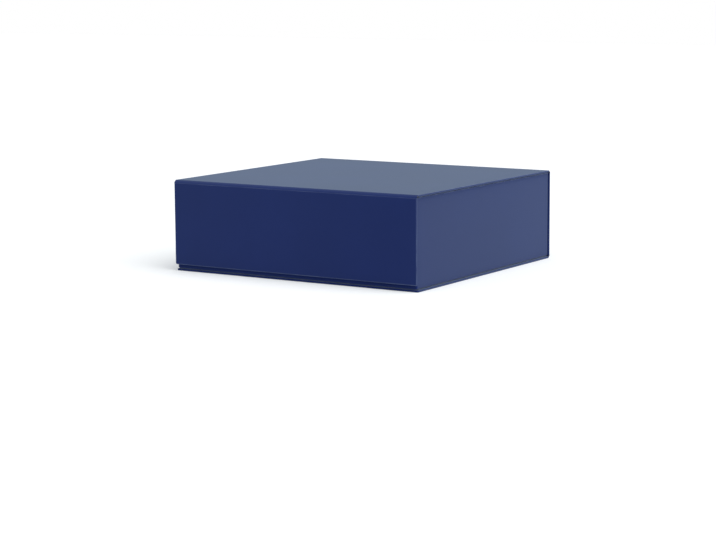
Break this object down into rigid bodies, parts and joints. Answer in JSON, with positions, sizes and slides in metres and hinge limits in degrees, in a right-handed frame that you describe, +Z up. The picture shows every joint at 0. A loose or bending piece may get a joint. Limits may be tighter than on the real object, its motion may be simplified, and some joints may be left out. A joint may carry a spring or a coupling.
{
  "type": "book box",
  "caption": "Shallow square clamshell box with a paper-covered case, a hinged lid, a magnetic front flap and a rigid inner tray for papers and keepsakes.",
  "frame": {"origin": "centre of the closed box's underside, on the table", "axes": "+X to the right seen from the flap, +Y from the flap to the spine, +Z up"},
  "size_m": [0.33, 0.313, 0.107],
  "materials": {
    "covering_paper": "satin coated, smooth",
    "lining_paper": "matte, uncoated",
    "greyboard": "raw, fibrous",
    "stay_paper": "matte kraft",
    "keeper_steel": "zinc plated",
    "magnet_plating": "nickel plated"
  },
  "bodies": {
    "tray": {"base_board": "greyboard", "base_cover": "covering_paper", "spine_board": "greyboard", "spine_cover": "covering_paper", "lining_tail": "lining_paper", "tray_floor": "greyboard", "tray_front_wall": "greyboard", "tray_back_wall": "greyboard", "tray_left_wall": "greyboard", "tray_right_wall": "greyboard", "tray_corner_stays": "stay_paper", "tray_cover": "covering_paper", "tray_wall_lining": "lining_paper", "tray_floor_lining": "lining_paper", "front_wall_keepers": "keeper_steel"},
    "lid": {"lid_board": "greyboard", "lid_cover": "covering_paper", "lid_lining": "lining_paper"},
    "flap": {"flap_board": "greyboard", "flap_cover": "covering_paper", "flap_lining": "lining_paper", "flap_magnets": "magnet_plating"}
  },
  "joints": [
    {"name": "lid_hinge", "type": "hinge", "parent": "tray", "child": "lid", "pos_m": [0, 0.1565, 0.1034], "axis": [-1, 0, 0], "range_deg": [0, 194]},
    {"name": "flap_hinge", "type": "hinge", "parent": "lid", "child": "flap", "pos_m": [0, -0.1547, 0.1052], "axis": [-1, 0, 0], "range_deg": [0, 90]}
  ]
}
